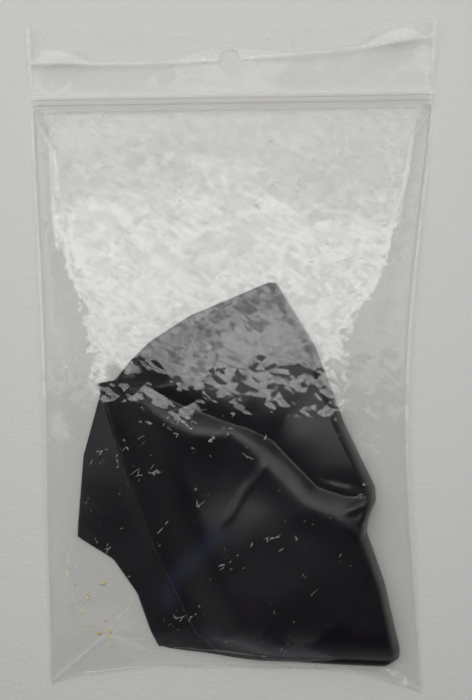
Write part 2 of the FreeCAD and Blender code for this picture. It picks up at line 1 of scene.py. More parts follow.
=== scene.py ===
# %% [markdown]
# # A clear grip-seal bag with a folded black leather and a cake of rosin
# The bag is two thin polythene films, welded along both sides, folded at the foot and closed
# by a press-to-close zip under its lip. A thin black leather, folded once over a small cake of
# rosin, lies inside and makes the bag stand up like a pillow. Everything here is soft or clear,
# so nearly every piece is a surface worked out with numpy from a few named sizes. The solid model
# gives the frame: where each piece is, and how the mouth opens.

# %% Load the frame
import math

import bpy
import numpy as np
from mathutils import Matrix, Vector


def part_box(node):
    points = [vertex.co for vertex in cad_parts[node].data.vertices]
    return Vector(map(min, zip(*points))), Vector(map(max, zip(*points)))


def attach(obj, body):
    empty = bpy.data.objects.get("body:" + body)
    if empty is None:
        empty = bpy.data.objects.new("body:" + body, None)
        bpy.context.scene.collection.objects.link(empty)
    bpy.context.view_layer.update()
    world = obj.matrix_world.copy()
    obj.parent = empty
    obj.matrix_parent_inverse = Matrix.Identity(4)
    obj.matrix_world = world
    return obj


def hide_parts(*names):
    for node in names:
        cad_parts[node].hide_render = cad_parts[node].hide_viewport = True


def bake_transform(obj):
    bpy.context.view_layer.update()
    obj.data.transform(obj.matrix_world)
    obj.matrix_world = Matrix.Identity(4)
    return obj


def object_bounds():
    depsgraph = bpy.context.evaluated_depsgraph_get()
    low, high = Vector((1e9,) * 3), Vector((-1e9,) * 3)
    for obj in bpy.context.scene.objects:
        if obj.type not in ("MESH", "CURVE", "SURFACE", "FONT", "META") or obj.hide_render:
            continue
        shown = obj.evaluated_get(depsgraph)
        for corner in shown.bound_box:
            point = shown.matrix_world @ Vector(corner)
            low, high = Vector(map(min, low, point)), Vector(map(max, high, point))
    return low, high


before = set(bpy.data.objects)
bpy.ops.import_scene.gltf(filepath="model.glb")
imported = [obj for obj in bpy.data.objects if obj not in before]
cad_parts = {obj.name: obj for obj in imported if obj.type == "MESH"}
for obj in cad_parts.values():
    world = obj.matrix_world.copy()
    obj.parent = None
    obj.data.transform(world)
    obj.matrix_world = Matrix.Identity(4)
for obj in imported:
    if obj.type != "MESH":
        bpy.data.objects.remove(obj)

cad_low, cad_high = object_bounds()

# %% [markdown]
# ## Sizes
# Blender works in metres, but a bag is thought of in millimetres. Each shape below is worked out
# in millimetres and turned into metres once, when its mesh is made. The places come from the
# solid model's own boxes, so the soft pieces land where the solids are.

# %% Places in the frame, in millimetres
MM = 0.001


def box_mm(node):
    """Lowest and highest corner of a CAD node, in millimetres."""
    low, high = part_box(node)
    return np.array(low) / MM, np.array(high) / MM


ZIP_LOW, ZIP_HIGH = box_mm("zip_channel")
CAKE_LOW, CAKE_HIGH = box_mm("rosin_cake")
BAG_LOW, BAG_HIGH = cad_low / MM, cad_high / MM

HALF_WIDTH = BAG_HIGH[0]
FOOT = BAG_LOW[1]
TOP = BAG_HIGH[1]
ZIP_FOOT, ZIP_TOP = ZIP_LOW[1], ZIP_HIGH[1]
CAKE_X, CAKE_Y = (CAKE_LOW[:2] + CAKE_HIGH[:2]) / 2
FILM = 0.09  # thickness of one film
print("bag", 2 * HALF_WIDTH, "x", TOP - FOOT, "mm, closure from", ZIP_FOOT, "to", ZIP_TOP)

# %% [markdown]
# ## The camera
# The bag is seen from above, a little from its lip's side of the middle. A normal lens about 30 cm
# away gives the slight spread from foot to lip. A look through the bag and back up to the lamp
# meets many faces of clear film, so more of them are let through than the usual eight.

# %% Camera
camera = bpy.data.objects.new("camera", bpy.data.cameras.new("camera"))
camera.data.lens = 50
camera.data.sensor_width = 36
camera.location = (0.0201, 0.0319, 0.2960)
camera.rotation_euler = [math.radians(turn) for turn in (-5.24, 3.58, -0.31)]
bpy.context.collection.objects.link(camera)
bpy.context.scene.camera = camera
bpy.context.scene.view_settings.view_transform = "Standard"
bpy.context.scene.cycles.transparent_max_bounces = 32

# %% [markdown]
# ## Helpers for shapes
# A film's surface is a height worked out for every point of a grid at once. Four small functions
# give the ingredients: a soft step, a smooth line through a few values, rolling random heights,
# and flat random facets that meet in sharp creases, as crumpled film does.

# %% Steps and lines
def ease(start, end, value):
    """0 up to start, 1 from end on, and 3t^2 - 2t^3 of the way t between them."""
    t = np.clip((value - start) / (end - start), 0.0, 1.0)
    return t * t * (3.0 - 2.0 * t)


def through(points, at):
    """A smooth line through (place, value) points: a cubic between each two points, whose slope
    at a point is the mean slope of the runs beside it."""
    places, values = np.array(points, float).T
    slopes = np.gradient(values, places)
    i = np.clip(np.searchsorted(places, at) - 1, 0, len(places) - 2)
    step = places[i + 1] - places[i]
    t = np.clip((at - places[i]) / step, 0.0, 1.0)
    start = (2 * t**3 - 3 * t**2 + 1) * values[i] + (t**3 - 2 * t**2 + t) * step * slopes[i]
    end = (3 * t**2 - 2 * t**3) * values[i + 1] + (t**3 - t**2) * step * slopes[i + 1]
    return start + end


def beside(path, x, y):
    """Distance to a line of straight runs, and how far along it the nearest point is, from 0 to 1.
    The distance is positive to the left of the line's direction."""
    path = np.array(path, float)
    runs = np.diff(path, axis=0)
    lengths = np.hypot(*runs.T)
    done = np.concatenate([[0.0], np.cumsum(lengths)])
    best = np.full(np.shape(x), np.inf)
    signed = np.zeros(np.shape(x))
    along = np.zeros(np.shape(x))
    for (px, py), (dx, dy), length, before in zip(path, runs, lengths, done):
        t = np.clip(((x - px) * dx + (y - py) * dy) / length**2, 0.0, 1.0)
        away = np.hypot(x - px - t * dx, y - py - t * dy)
        side = np.where(dx * (y - py) - dy * (x - px) >= 0, 1.0, -1.0)
        nearer = away < best
        best = np.where(nearer, away, best)
        signed = np.where(nearer, away * side, signed)
        along = np.where(nearer, (before + t * length) / done[-1], along)
    return signed, along


def drawn(lines, x, y):
    """How strongly a few lines show at each point: the sum of strength * exp(-(distance/width)^2),
    each line being its points, its width and its strength."""
    return sum(strong * np.exp(-(beside(path, x, y)[0] / wide) ** 2) for path, wide, strong in lines)


# %% Random heights
def lattice(x, y, size, seed):
    """Random values at the four corners of each point's square of side size, and its place in it."""
    values = np.random.default_rng(seed).uniform(-1.0, 1.0, (97, 97))
    column, row = np.floor(x / size).astype(int), np.floor(y / size).astype(int)
    tx, ty = x / size - column, y / size - row
    corners = [values[(column + i) % 97, (row + j) % 97] for i in (0, 1) for j in (0, 1)]
    return corners, tx, ty


def swell(x, y, size, seed):
    """Rolling heights from -1 to 1: the lattice's corner values, mixed by ease() both ways."""
    (low_left, high_left, low_right, high_right), tx, ty = lattice(x, y, size, seed)
    tx, ty = ease(0, 1, tx), ease(0, 1, ty)
    left = low_left + (high_left - low_left) * ty
    right = low_right + (high_right - low_right) * ty
    return left + (right - left) * tx


def facets(x, y, size, seed):
    """Flat facets from -1 to 1 that meet in sharp creases: each lattice square is two triangles,
    and the height is linear on each. The lattice is bent first, so that no row of it shows."""
    bent_x = x + 0.45 * size * swell(x, y, 1.7 * size, seed + 1)
    bent_y = y + 0.45 * size * swell(x, y, 1.7 * size, seed + 2)
    (low_left, high_left, low_right, high_right), tx, ty = lattice(bent_x, bent_y, size, seed)
    lower = low_left + tx * (low_right - low_left) + ty * (high_left - low_left)
    upper = high_right + (1 - tx) * (high_left - high_right) + (1 - ty) * (low_right - high_right)
    return np.where(tx + ty < 1.0, lower, upper)


# %% [markdown]
# ## Helpers for meshes
# A grid of points becomes a sheet of four-sided faces, listed so that they face up. A thin sheet
# then gets its real thickness from a Solidify modifier.

# %% Meshes
def grid_faces(rows, columns):
    """Faces of a grid of points, turned so that they face up when rows run to +Y and columns to +X."""
    index = np.arange(rows * columns).reshape(rows, columns)
    corners = index[:-1, :-1], index[:-1, 1:], index[1:, 1:], index[1:, :-1]
    return np.stack(corners, -1).reshape(-1, 4)


def add_piece(name, points, faces, material, replaced, smooth=True):
    """A mesh from points in millimetres, standing for the CAD nodes in replaced. Film and leather
    are shaded smooth, extruded sections and splinters flat."""
    mesh = bpy.data.meshes.new(name)
    mesh.from_pydata((np.reshape(points, (-1, 3)) * MM).tolist(), [], faces.tolist())
    if smooth:
        mesh.shade_smooth()
    mesh.materials.append(material)
    piece = bpy.data.objects.new(name, mesh)
    bpy.context.collection.objects.link(piece)
    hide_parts(*replaced)
    print(name, len(mesh.vertices), "points,", len(mesh.polygons), "faces")
    return piece


def set_values(piece, name, values):
    """Write one number per point, which a material reads by its name."""
    layer = piece.data.attributes.new(name, "FLOAT", "POINT")
    layer.data.foreach_set("value", np.ravel(values).astype(np.float32))


def thicken(piece, thickness, offset=0.0):
    """Give a sheet its thickness in millimetres; an offset of -1 puts all of it under the sheet."""
    solid = piece.modifiers.new("thickness", "SOLIDIFY")
    solid.thickness = thickness * MM
    solid.offset = offset
    return piece


# %% [markdown]
# ## Helpers for materials
# Colours are written as the hex numbers that a designer would pick, and turned to the linear values
# that the renderer works with.

# %% Materials
def linear(hex_colour):
    """An sRGB hex colour as linear red, green, blue and alpha."""
    values = [int(hex_colour[i:i + 2], 16) / 255 for i in (1, 3, 5)]
    return [v / 12.92 if v <= 0.04045 else ((v + 0.055) / 1.055) ** 2.4 for v in values] + [1.0]


def add_node(tree, kind, settings=None, sockets=None, links=None):
    """Add a shader node: settings are its properties, sockets its own values, and links its inputs
    that are fed from another node's output."""
    node = tree.nodes.new("ShaderNode" + kind)
    for name, value in (settings or {}).items():
        setattr(node, name, value)
    for name, value in (sockets or {}).items():
        node.inputs[name].default_value = value
    for name, output in (links or {}).items():
        tree.links.new(output, node.inputs[name])
    return node


def set_ramp(node, *stops):
    """Set the stops of a colour ramp, each a place from 0 to 1 and a hex colour."""
    for element, (position, colour) in zip(node.color_ramp.elements, stops):
        element.position = position
        element.color = linear(colour)


def new_material(name):
    """An empty node material and its tree."""
    material = bpy.data.materials.new(name)
    material.use_nodes = True
    material.node_tree.nodes.clear()
    return material, material.node_tree


# %% [markdown]
# ## Clear polythene film
# Low-density polythene film is blown, slightly hazy and glossy. It lets nearly all light through
# and mirrors about a twentieth of it at each face, more at a slant. A Glass shader would bend light
# through two faces a tenth of a millimetre apart and turn to noise, so the film is a mix of
# Transparent and Glossy. How much is Glossy follows the slant: 1 minus the cosine, to the fifth
# power. Crumpled film is made of small flat cells that meet in creases, so the mirror is tilted by a
# random amount in each cell of two sizes. Along a crease the film has stretched and gone white, and
# white is also painted on as highlights and glint strokes.

# %% Crumpled film
CELLS = [(2.8, 0.035, -56), (1.2, 0.030, 62)]  # width of the long flat cells in mm, tilt, direction
MARK_WIDTH, MARK_DIRECTION = 1.9, -48  # the cells whose edges are crease marks
AREA, PATCH = 9.0, 2.6  # mm across the areas and patches where marks gather
CELL_BEND = 1.8  # mm by which the rows of cells are bent


def long_cells(tree, place, width, direction, feature):
    """A Voronoi texture whose cells are three times as long as they are wide, and turned."""
    turned = add_node(tree, "Mapping", {"vector_type": "TEXTURE"},
                      {"Rotation": (0, 0, math.radians(direction)), "Scale": (1, 3, 1)},
                      {"Vector": place})
    return add_node(tree, "TexVoronoi", {"feature": feature}, {"Scale": 1000 / width},
                    {"Vector": turned.outputs["Vector"]})


def bent_place(tree):
    """Object coordinates, and the same bent by slow noise so that no row of cells shows."""
    place = add_node(tree, "TexCoord").outputs["Object"]
    bend = add_node(tree, "TexNoise", None, {"Scale": 1000 / AREA, "Detail": 1.0}, {"Vector": place})
    shift = add_node(tree, "VectorMath", {"operation": "SCALE"}, {"Scale": CELL_BEND * MM},
                     {0: bend.outputs["Color"]})
    bent = add_node(tree, "VectorMath", {"operation": "ADD"}, None,
                    {0: place, 1: shift.outputs["Vector"]})
    return place, bent.outputs["Vector"]


def crumpled_normal(tree, bent, crackle):
    """The surface's normal, tilted by a random amount in each cell of both sizes."""
    normal = add_node(tree, "NewGeometry").outputs["Normal"]
    for width, tilt, direction in CELLS:
        cells = long_cells(tree, bent, width, direction, "F1")
        centred = add_node(tree, "VectorMath", {"operation": "SUBTRACT"}, {1: (0.5, 0.5, 0.5)},
                           {0: cells.outputs["Color"]})
        turned = add_node(tree, "VectorMath", {"operation": "SCALE"}, {"Scale": 2 * tilt * crackle},
                          {0: centred.outputs["Vector"]})
        normal = add_node(tree, "VectorMath", {"operation": "ADD"}, None,
                          {0: normal, 1: turned.outputs["Vector"]}).outputs["Vector"]
    unit = add_node(tree, "VectorMath", {"operation": "NORMALIZE"}, None, {0: normal})
    return unit.outputs["Vector"]


def crease_marks(tree, place, bent):
    """Short marks, from 0 to 1: the edges of long cells, where a broad and a fine noise add up."""
    edges = long_cells(tree, bent, MARK_WIDTH, MARK_DIRECTION, "DISTANCE_TO_EDGE")
    line = add_node(tree, "MapRange", None, {"From Min": 0.005, "From Max": 0.035, "To Min": 1.0,
                    "To Max": 0.0}, {"Value": edges.outputs["Distance"]})
    patch = add_node(tree, "TexNoise", None, {"Scale": 1000 / PATCH, "Detail": 1.0},
                     {"Vector": place})
    area = add_node(tree, "TexNoise", None, {"Scale": 1000 / AREA, "Detail": 0.0}, {"Vector": place})
    both = add_node(tree, "Math", {"operation": "MULTIPLY_ADD"}, {1: 0.5},
                    {0: area.outputs["Fac"], 2: patch.outputs["Fac"]})
    sparse = add_node(tree, "MapRange", None, {"From Min": 0.96, "From Max": 1.02},
                      {"Value": both.outputs["Value"]})
    marks = add_node(tree, "Math", {"operation": "MULTIPLY"}, None,
                     {0: line.outputs["Result"], 1: sparse.outputs["Result"]})
    return marks.outputs["Value"]


# %% [markdown]
# ## How the film shares out its light
# Clear and mirror are mixed by the slant, and both are then mixed with a milky white by how hazy or
# creased the place is, and by painted highlights and painted glint strokes. Welds and the zip's tapes
# are thicker and milkier, and part of their white is light from behind.

# %% Film material
GLOSS_ROUGHNESS = 0.05
# Pale yellow of the painted yellow glints in the film, drawn as rosin dust.
GLINT_AND_DUST_COLOUR = "#f3eda2"


def make_film(name, mirror, haze, slant=0.25, crackle=1.0, painted_glints=0.25, milk="#f4f5f4",
              passing=0.0, passed=0.988):
    """Blown polythene film. Mirror is the share of light that a face mirrors seen square on, and
    slant is the share kept of what a flat face adds at a slant. Haze is the share scattered, in the
    colour milk, and passing is how much of that is light from behind. Passed is the share of the rest
    that a face lets through. Short crease marks don't mirror, and a share of them is painted white as
    glint strokes. The mesh's own crease values, from 0 to 1, whiten it too: stress whitening and
    painted highlights. Its amber values are the share of that white that is pale yellow, painted
    yellow glints drawn as rosin dust."""
    material, tree = new_material(name)
    place, bent = bent_place(tree)
    normal = crumpled_normal(tree, bent, crackle)
    marks = crease_marks(tree, place, bent)
    # The crease attribute is stress whitening plus painted highlights, and the crease marks add painted
    # white glint strokes.
    crease = add_node(tree, "Attribute", {"attribute_name": "crease"}).outputs["Fac"]
    cloudy = add_node(tree, "Math", {"operation": "MULTIPLY_ADD"}, {1: painted_glints}, {0: marks, 2: crease})
    cloudy = add_node(tree, "Math", {"operation": "ADD", "use_clamp": True}, {1: haze},
                      {0: cloudy.outputs["Value"]})
    facing = add_node(tree, "LayerWeight", None, {"Blend": 0.5}, {"Normal": normal})
    fifth = add_node(tree, "Math", {"operation": "POWER"}, {1: 5.0}, {0: facing.outputs["Facing"]})
    share = add_node(tree, "Math", {"operation": "MULTIPLY_ADD"}, {1: slant * (1 - mirror), 2: mirror},
                     {0: fifth.outputs["Value"]})
    flat = add_node(tree, "Math", {"operation": "SUBTRACT"}, {0: 1.0}, {1: marks})
    share = add_node(tree, "Math", {"operation": "MULTIPLY"}, None,
                     {0: share.outputs["Value"], 1: flat.outputs["Value"]})
    clear = add_node(tree, "BsdfTransparent", None, {"Color": (passed, passed, passed, 1)})
    gloss = add_node(tree, "BsdfAnisotropic", None,
                     {"Color": (1, 1, 1, 1), "Roughness": GLOSS_ROUGHNESS}, {"Normal": normal})
    film = add_node(tree, "MixShader", None, None, {0: share.outputs["Value"],
                    1: clear.outputs["BSDF"], 2: gloss.outputs["BSDF"]})
    # Amber values tint the white pale yellow: painted yellow glints, drawn as rosin dust.
    glint_and_dust = add_node(tree, "Attribute", {"attribute_name": "amber"}).outputs["Fac"]
    milky = add_node(tree, "MixRGB", None, {"Color1": linear(milk), "Color2": linear(GLINT_AND_DUST_COLOUR)},
                     {"Fac": glint_and_dust})
    facing_light = add_node(tree, "BsdfDiffuse", None, None, {"Color": milky.outputs["Color"]})
    from_behind = add_node(tree, "BsdfTranslucent", None, None, {"Color": milky.outputs["Color"]})
    white = add_node(tree, "MixShader", None, {"Fac": passing},
                     {1: facing_light.outputs["BSDF"], 2: from_behind.outputs["BSDF"]})
    hazed = add_node(tree, "MixShader", None, None, {0: cloudy.outputs["Value"],
                     1: film.outputs["Shader"], 2: white.outputs["Shader"]})
    add_node(tree, "OutputMaterial", None, None, {"Surface": hazed.outputs["Shader"]})
    return material


CLEAR_FILM = make_film("blown_polythene_film", 0.042, 0.001)
RESTING_FILM = make_film("polythene_film_on_table", 0.018, 0.02, painted_glints=0.10)
LIP_FILM = make_film("handled_lip_polythene", 0.005, 0.0, slant=0.03, painted_glints=0.15, passed=1.0)
WELDED_FILM = make_film("welded_polythene_film", 0.020, 0.14, slant=0.03, painted_glints=0.0, passing=0.3)
ZIP_FILM = make_film("extruded_zip_polythene", 0.015, 0.32, slant=0.05, crackle=0.0, painted_glints=0.0,
                     milk="#eeedea", passing=0.25)

# %% [markdown]
# ## Thin black leather
# A soft, finished goat or sheep leather, about half a millimetre thick. The finish is nearly black
# with a little violet, satin rather than glossy, with a grain of pores drawn 0.45 mm apart, a little
# coarser than real ones so that they show. Satin shows as a wide soft highlight along each ridge, and
# the grain breaks it up. Where the mesh's values say, the finish is painted a dark grey, paler than the
# black: rubbed wear and a painted highlight line at the cut edges, and a painted highlight along the
# crest and the pinched folds. Two soft strips are painted bluish, as a painted reflection.

# %% Leather material
CLOUD_WIDTH, PORE_WIDTH = 22.0, 0.45
LEATHER, tree = new_material("thin_black_leather")
place = add_node(tree, "TexCoord").outputs["Object"]
cloud = add_node(tree, "TexNoise", None, {"Scale": 1000 / CLOUD_WIDTH, "Detail": 3.0},
                 {"Vector": place})
tone = add_node(tree, "ValToRGB", None, None, {"Fac": cloud.outputs["Fac"]})
set_ramp(tone, (0.35, "#09080f"), (0.68, "#140e15"))
pores = add_node(tree, "TexVoronoi", None, {"Scale": 1000 / PORE_WIDTH}, {"Vector": place})
bump = add_node(tree, "Bump", None, {"Strength": 0.25, "Distance": 0.00004},
                {"Height": pores.outputs["Distance"]})
rough = add_node(tree, "MapRange", None, {"From Min": 0.3, "From Max": 0.7, "To Min": 0.26,
                 "To Max": 0.36}, {"Value": cloud.outputs["Fac"]})
# Dark grey for rubbed wear at the cut edges, and painted highlight along the crest and folds.
wear_and_highlight = add_node(tree, "Attribute", {"attribute_name": "wear_and_highlight"}).outputs["Fac"]
coat = add_node(tree, "MixRGB", None, {"Color2": linear("#4e4a50")},
                {"Fac": wear_and_highlight, "Color1": tone.outputs["Color"]})
# Painted bluish reflection, in two soft strips.
painted_reflection = add_node(tree, "Attribute", {"attribute_name": "painted_reflection"}).outputs["Fac"]
coat = add_node(tree, "MixRGB", None, {"Color2": linear("#262b3e")},
                {"Fac": painted_reflection, "Color1": coat.outputs["Color"]})
skin = add_node(tree, "BsdfPrincipled", None, {"Specular IOR Level": 0.42},
                {"Base Color": coat.outputs["Color"], "Roughness": rough.outputs["Result"],
                 "Normal": bump.outputs["Normal"]})
add_node(tree, "OutputMaterial", None, None, {"Surface": skin.outputs["BSDF"]})

# %% [markdown]
# ## Amber rosin
# Rosin is the hard resin left when pine turpentine is boiled off. It is brittle and breaks like
# glass, amber inside, and dusty pale where it is scratched or powdered.

# %% Rosin material
DUST_WIDTH = 1.6
ROSIN, tree = new_material("amber_rosin")
place = add_node(tree, "TexCoord").outputs["Object"]
dust = add_node(tree, "TexNoise", None, {"Scale": 1000 / DUST_WIDTH, "Detail": 4.0}, {"Vector": place})
tone = add_node(tree, "ValToRGB", None, None, {"Fac": dust.outputs["Fac"]})
set_ramp(tone, (0.42, "#d8bd74"), (0.66, "#f3eecb"))
rough = add_node(tree, "MapRange", None, {"From Min": 0.4, "From Max": 0.7, "To Min": 0.12,
                 "To Max": 0.7}, {"Value": dust.outputs["Fac"]})
bump = add_node(tree, "Bump", None, {"Strength": 0.4, "Distance": 0.0001},
                {"Height": dust.outputs["Fac"]})
resin = add_node(tree, "BsdfPrincipled", None, {"IOR": 1.53, "Subsurface Weight": 0.3,
                 "Subsurface Radius": (0.004, 0.002, 0.0006), "Subsurface Scale": 1.0},
                 {"Base Color": tone.outputs["Color"], "Roughness": rough.outputs["Result"],
                  "Normal": bump.outputs["Normal"]})
add_node(tree, "OutputMaterial", None, None, {"Surface": resin.outputs["BSDF"]})
for node, material in (("rosin_cake", ROSIN), ("rosin_crumbs", ROSIN), ("zip_rib", ZIP_FILM)):
    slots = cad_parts[node].data.materials
    slots.clear()
    slots.append(material)

# %% [markdown]
# ## The outline of the bag
# Seen from above, a filled bag pulls its sides in at the waist, because the film has to go up and
# over the contents, and its foot curves in between the two corners for the same reason. The sides
# also lift a little off the table there.

# %% Outline
LEFT, RIGHT = -1, 1
# how far each side stands out past the solid at the closure, and is drawn in at the waist and foot
SIDES = {LEFT: (0.6, 2.3, 1.6), RIGHT: (0.5, 6.8, 1.2)}
BAG_FOOT_DIP = 6.0
WELD_REST, WAIST_LIFT = 0.25, 2.4


def waist(y):
    """How far the waist is drawn in, from 0 at the foot and closure to 1 between them."""
    t = np.clip((y - FOOT) / (ZIP_FOOT - FOOT), 0.0, 1.0)
    return np.sin(np.pi * t) ** 1.3


def side_edge(side, y):
    """Left or right side of the bag: half the width, less what the waist and the foot draw in."""
    out, at_waist, at_foot = SIDES[side]
    return side * (HALF_WIDTH + out - at_waist * waist(y) - at_foot * ease(-40, -100, y))


def side_lift(y):
    """Height of the side welds over the table, most at the waist."""
    return WELD_REST + WAIST_LIFT * waist(y)


def foot_edge(x):
    """Where the foot's fold lies: back from the corners by the dip times 1 less the fourth power of
    the way across, which keeps the middle flat, plus half a millimetre of slow waves."""
    reach = np.abs(x / (HALF_WIDTH - 1.5)) ** 4
    return FOOT + BAG_FOOT_DIP * (1 - reach) + 0.5 * swell(x, x, 9.0, 5) * (1 - reach)


print("waist", round(float(side_edge(RIGHT, -10.0) - side_edge(LEFT, -10.0)), 1), "mm wide")

# %% [markdown]
# ## The pillow
# The front film rises from the closure, runs over the leather and comes down steeply at the foot.
# Across the bag it is nearly flat in the middle and steep near the welds. Its height is a crown
# line along the bag, times 1 less a high power of the way across. Crinkles are added to that:
# slow swells, flat facets a centimetre across, and small facets.

# %% Pillow heights
CROWN = [(-95, 1.2), (-92, 4.2), (-84, 8.4), (-70, 11.0), (-45, 13.0), (-20, 14.75), (-10, 15.35),
         (-3, 15.6), (4, 15.55), (12, 15.0), (22, 13.9), (38, 11.4), (54, 8.4), (64, 6.3), (72, 4.1),
         (78, 2.0)]
LEFT_POWER = [(-95, 5), (-20, 6.5), (20, 9), (45, 18), (78, 24)]
RIGHT_POWER = [(-95, 4.5), (-20, 5), (13, 6), (43, 17), (78, 24)]
CRINKLE = 0.28


def crinkle(x, y, seed):
    """Swells of 34 mm and facets of 12 and 5 mm, in millimetres of height. The facets are
    half as deep again on both sides of the leather's tip, which has rubbed the film there."""
    rubbed = 1 + 0.5 * np.exp(-((x + 22) / 17) ** 2 - ((y + 2) / 9) ** 2)
    rubbed = rubbed + 0.5 * np.exp(-((x - 24) / 12) ** 2 - (y / 9) ** 2)
    return 0.6 * swell(x, y, 34, seed) + CRINKLE * rubbed * (
        facets(x, y, 12, seed + 10) + 0.42 * facets(x, y, 5.2, seed + 20))


DOG_EARS = [([(-58.5, -101.5), (-41, -86), (-27, -83.5)], 1),
            ([(58.5, -101.5), (49, -95.0), (40, -93.0)], -1)]
EAR_HEIGHT, EAR_SLOPE, EAR_CLIMB = 1.3, 0.17, 14.0


def dog_ear(x, y, z, path, inward):
    """A crease from a foot corner: on its foot side the film is a flat flap that rises slightly
    towards the foot, and on its inner side the film climbs back to the pillow over 14 mm."""
    off, along = beside(path, x, y)
    off = off * inward
    low = EAR_HEIGHT + EAR_SLOPE * np.maximum(-off, 0)
    up = low + (z - low) * ease(-0.5, EAR_CLIMB, off)
    share = 1 - ease(0.55, 1.0, along)
    return z + share * (np.where(off < 0, np.minimum(low, z + 1.5), np.minimum(up, z)) - z)


def front_height(u, x, y):
    """Crown line times (1 - |u|^power), on top of the weld's lift, plus the crinkles away from
    the edges, and long gathers along both sides."""
    power = np.where(u < 0, through(LEFT_POWER, y), through(RIGHT_POWER, y))
    inside = 1.0 - np.abs(u) ** power
    edge = ease(0, 0.12, 1 - np.abs(u)) * ease(ZIP_FOOT, ZIP_FOOT - 9, y) * ease(-97, -88, y)
    gathers = 0.45 * ease(0.72, 0.9, np.abs(u)) * swell(x, 0.2 * y, 4.5, 9)
    z = side_lift(y) * np.abs(u) ** 8 + through(CROWN, y) * inside + edge * (crinkle(x, y, 3) + gathers)
    for path, inward in DOG_EARS:
        z = dog_ear(x, y, z, path, inward)
    return z


# %% [markdown]
# ## White creases, painted highlights and painted yellow glints
# Polythene that is folded sharply stretches and goes white. Painted highlights are added as white
# beside the closure's corners and along its seam, and pale yellow lines are painted yellow glints,
# drawn as rosin dust in the creases. They are worked out for each point and given to the material as
# attributes, because they follow the bag's own folds and aren't a pattern in space.

# %% Creases that show white, and painted highlights
# The first two and the last lines are painted highlights beside the closure's corners; the others are
# stress-whitened creases near the foot.
WHITE_AND_HIGHLIGHT_LINES = [([(-59.5, 74.8), (-55, 68.7), (-52, 63.3), (-50.4, 51.4)], 0.6, 0.20),
               ([(60.3, 76.3), (53.6, 67.8), (52.1, 58.9), (49.3, 41.9)], 0.6, 0.20),
               (DOG_EARS[0][0], 0.45, 0.18), (DOG_EARS[1][0], 0.45, 0.24),
               ([(-36, -84.8), (-31.6, -86), (-28, -87)], 1.3, 0.16),
               ([(-59.4, 76.6), (-57.6, 73.2), (-54.5, 68)], 0.9, 0.16)]
# Pale yellow lines: painted yellow glints, drawn as rosin dust caught in the creases.
GLINT_AND_DUST_LINES = [([(-50.5, -55.5), (-50.2, -60.3), (-51.4, -66.7)], 0.22, 0.35),
               ([(-49.8, -70.2), (-47.6, -74.6), (-46.4, -77.2), (-45.4, -74.0)], 0.2, 0.35),
               ([(-50, -79), (-49.6, -81.8), (-46.8, -83.4), (-43.9, -82.1)], 0.25, 0.4),
               ([(-29.9, -71.5), (-33.8, -76.3), (-36.4, -80.2), (-38.0, -84.1)], 0.25, 0.4),
               ([(-38.0, -84.1), (-39.7, -89.4)], 0.2, 0.25)]


def film_whites_and_highlights(x, y):
    """How white the film is and how much of that is pale yellow. White are the stress-whitened lines
    where it has been folded sharply, and painted highlights: the lines and the two gathered corners
    beside the closure, and the seam along it. Pale yellow are painted yellow glints in broken lines
    near the foot, drawn as rosin dust."""
    # Corner and seam are painted highlights beside and along the closure.
    corner = ease(9, 0, ZIP_FOOT - y) * ease(47, 58, np.abs(x))
    seam = ease(0.9, 0.2, ZIP_FOOT - y)
    # Painted yellow glints, drawn as rosin dust in broken lines.
    dust = drawn(GLINT_AND_DUST_LINES, x, y) * np.clip(0.7 + swell(x, y, 1.6, 17), 0, 1)
    white = drawn(WHITE_AND_HIGHLIGHT_LINES, x, y) + 0.16 * corner + 0.4 * seam + dust
    return np.clip(white, 0, 1), ease(0.02, 0.1, dust)


# %% Front film
WELD_INSET = 0.9    # from a weld's outer edge to the films' edges
FOLD_START = 0.3    # from the foot's edge to where the foot's roll ends
CLOSURE_GAP = 0.02  # the films end just short of the closure's tapes


def body_grid(rows, columns, low, high):
    """Ways across u and places x, y of a grid over the bag's body, from the foot to the closure."""
    v, u = np.meshgrid(np.linspace(0, 1, rows), np.linspace(-1, 1, columns), indexing="ij")
    foot = foot_edge(u * HALF_WIDTH)
    y = foot + low + (ZIP_FOOT + high - foot - low) * v
    left, right = side_edge(LEFT, y), side_edge(RIGHT, y)
    x = left + WELD_INSET + (right - left - 2 * WELD_INSET) * (u + 1) / 2
    return u, x, y


u, x, y = body_grid(250, 160, FOLD_START, -CLOSURE_GAP)
front_points = np.stack([x, y, front_height(u, x, y)], -1)
front_film = add_piece("front_film", front_points, grid_faces(*x.shape), CLEAR_FILM,
                       ("front_wall", "mouth_panel"))
# Point values of stress whitening and painted highlights, and of painted yellow glints.
for name, values in zip(("crease", "amber"), film_whites_and_highlights(x, y)):
    set_values(front_film, name, values)
thicken(front_film, FILM)
print("front film stands", round(float(front_points[..., 2].max()), 1), "mm high")

# %% [markdown]
# ## The back film, the foot and the welds
# The back film lies flat on the table and turns up to the welds at its sides. At the foot the film
# folds back on itself in a tight roll. Along each side the two films are cut and melted into one
# narrow, harder bead, which shows as a thin pale line.

# %% Back film
def back_height(u, x, y):
    """The weld's lift times a high power of the way across, plus slight swells."""
    edge = ease(0, 0.1, 1 - np.abs(u))
    return 0.12 + side_lift(y) * np.abs(u) ** 9 + 0.32 * edge * (1 + facets(x, y, 12, 41))


u, x, y = body_grid(150, 96, FOLD_START, -CLOSURE_GAP)
back_points = np.stack([x, y, back_height(u, x, y)], -1)
back_film = add_piece("back_film", back_points, grid_faces(*x.shape), RESTING_FILM,
                      ("back_wall",))
thicken(back_film, FILM)


# %% Foot fold
FOLD_REACH = 0.7
FOLD_COLUMNS, FOLD_AROUND = 150, 9


